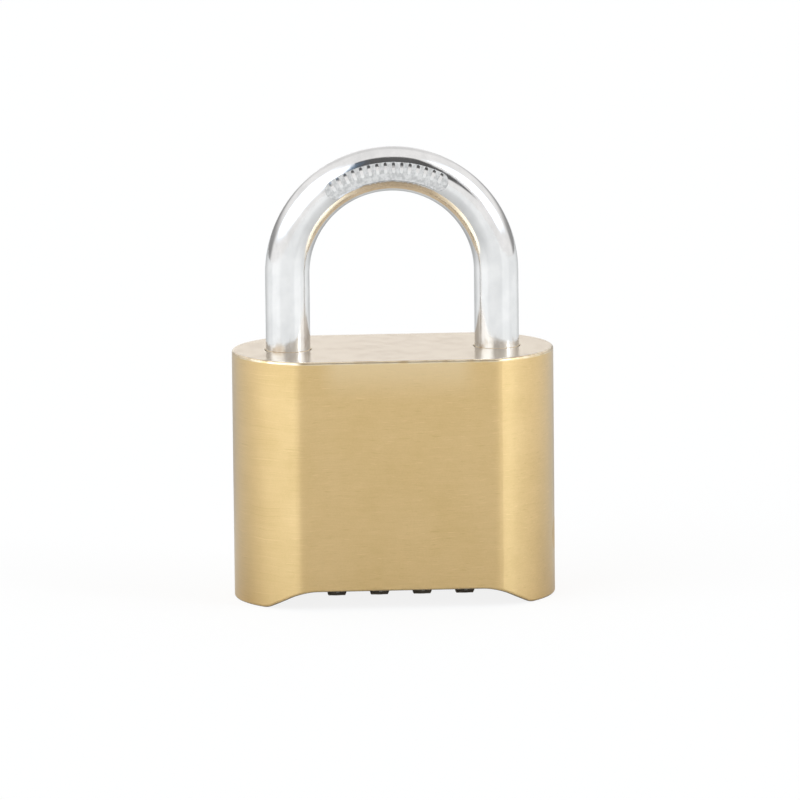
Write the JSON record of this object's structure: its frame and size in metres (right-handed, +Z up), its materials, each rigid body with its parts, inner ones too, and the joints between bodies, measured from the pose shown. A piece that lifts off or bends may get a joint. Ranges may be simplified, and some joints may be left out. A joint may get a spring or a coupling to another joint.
{
  "type": "combination padlock",
  "caption": "Resettable combination padlock: brass block with rounded ends and a raised saddle, chromed shackle, number dials in the underside.",
  "frame": {"origin": "middle of the block's footprint, at the feet it stands on", "axes": "+X from the heel leg to the toe leg, -Y out of the front face, +Z up along the shackle's legs"},
  "size_m": [0.0508, 0.028, 0.0714],
  "materials": {
    "block_brass": "satin, finely brushed",
    "plate_brass": "satin",
    "brass_pin": "satin",
    "tumbler_brass": "turned",
    "shackle_chrome": "bright chrome plate",
    "pin_steel": "turned steel",
    "spring_steel": "spring steel",
    "latch_steel": "stamped and zinc plated",
    "dial_metal": "dark plated, pale numerals"
  },
  "bodies": {
    "lock": {"lock_body": "block_brass", "base_plate": "plate_brass", "base_plate_pins": "brass_pin", "shackle_stop_pin": "pin_steel", "shackle_spring": "spring_steel", "spindle_plug": "brass_pin", "cam_washer": "pin_steel", "latch_spring": "spring_steel", "guide_plate": "latch_steel", "detent_spring": "spring_steel", "detent_screws": "pin_steel"},
    "shackle": {"shackle": "shackle_chrome"},
    "latch": {"locking_bar": "latch_steel", "latch_bolt": "latch_steel", "latch_rivets": "brass_pin"},
    "spindle": {"spindle": "pin_steel", "spindle_clips": "spring_steel"},
    "change_cam": {"change_cam": "pin_steel"},
    "dial_1": {"dial_1": "dial_metal"},
    "tumbler_1": {"tumbler_1": "tumbler_brass"},
    "dial_2": {"dial_2": "dial_metal"},
    "tumbler_2": {"tumbler_2": "tumbler_brass"},
    "dial_3": {"dial_3": "dial_metal"},
    "tumbler_3": {"tumbler_3": "tumbler_brass"},
    "dial_4": {"dial_4": "dial_metal"},
    "tumbler_4": {"tumbler_4": "tumbler_brass"}
  },
  "joints": [
    {"name": "shackle_lift", "type": "slide", "parent": "lock", "child": "shackle", "axis": [0, 0, 1], "range_m": [0, 0.0105], "deforming": ["shackle_spring"]},
    {"name": "latch_slide", "type": "slide", "parent": "lock", "child": "latch", "axis": [-1, 0, 0], "range_m": [0, 0.00252], "deforming": ["latch_spring"]},
    {"name": "change_cam_turn", "type": "hinge", "parent": "lock", "child": "change_cam", "pos_m": [0.01818, -0.0017, 0.02], "axis": [0, 0, 1], "range_deg": [-90, 0]},
    {"name": "spindle_shift", "type": "slide", "parent": "lock", "child": "spindle", "axis": [1, 0, 0], "range_m": [-0.00075, 0]},
    {"name": "dial_1_turn", "type": "hinge", "parent": "lock", "child": "dial_1", "pos_m": [-0.00942, -0.002, 0.00955], "axis": [1, 0, 0], "continuous": true},
    {"name": "tumbler_1_turn", "type": "hinge", "parent": "spindle", "child": "tumbler_1", "pos_m": [-0.00942, -0.002, 0.00955], "axis": [1, 0, 0], "continuous": true},
    {"name": "dial_2_turn", "type": "hinge", "parent": "lock", "child": "dial_2", "pos_m": [-0.00267, -0.002, 0.00955], "axis": [1, 0, 0], "continuous": true},
    {"name": "tumbler_2_turn", "type": "hinge", "parent": "spindle", "child": "tumbler_2", "pos_m": [-0.00267, -0.002, 0.00955], "axis": [1, 0, 0], "continuous": true},
    {"name": "dial_3_turn", "type": "hinge", "parent": "lock", "child": "dial_3", "pos_m": [0.00407, -0.002, 0.00955], "axis": [1, 0, 0], "continuous": true},
    {"name": "tumbler_3_turn", "type": "hinge", "parent": "spindle", "child": "tumbler_3", "pos_m": [0.00407, -0.002, 0.00955], "axis": [1, 0, 0], "continuous": true},
    {"name": "dial_4_turn", "type": "hinge", "parent": "lock", "child": "dial_4", "pos_m": [0.01082, -0.002, 0.00955], "axis": [1, 0, 0], "continuous": true},
    {"name": "tumbler_4_turn", "type": "hinge", "parent": "spindle", "child": "tumbler_4", "pos_m": [0.01082, -0.002, 0.00955], "axis": [1, 0, 0], "continuous": true}
  ],
  "couplings": [
    {"joint": "latch_slide", "follows": "shackle_lift", "ratio": 0.24048},
    {"joint": "change_cam_turn", "follows": "spindle_shift", "rad_per_m": 2094.4},
    {"joint": "tumbler_1_turn", "follows": "dial_1_turn", "ratio": 1},
    {"joint": "tumbler_2_turn", "follows": "dial_2_turn", "ratio": 1},
    {"joint": "tumbler_3_turn", "follows": "dial_3_turn", "ratio": 1},
    {"joint": "tumbler_4_turn", "follows": "dial_4_turn", "ratio": 1}
  ]
}
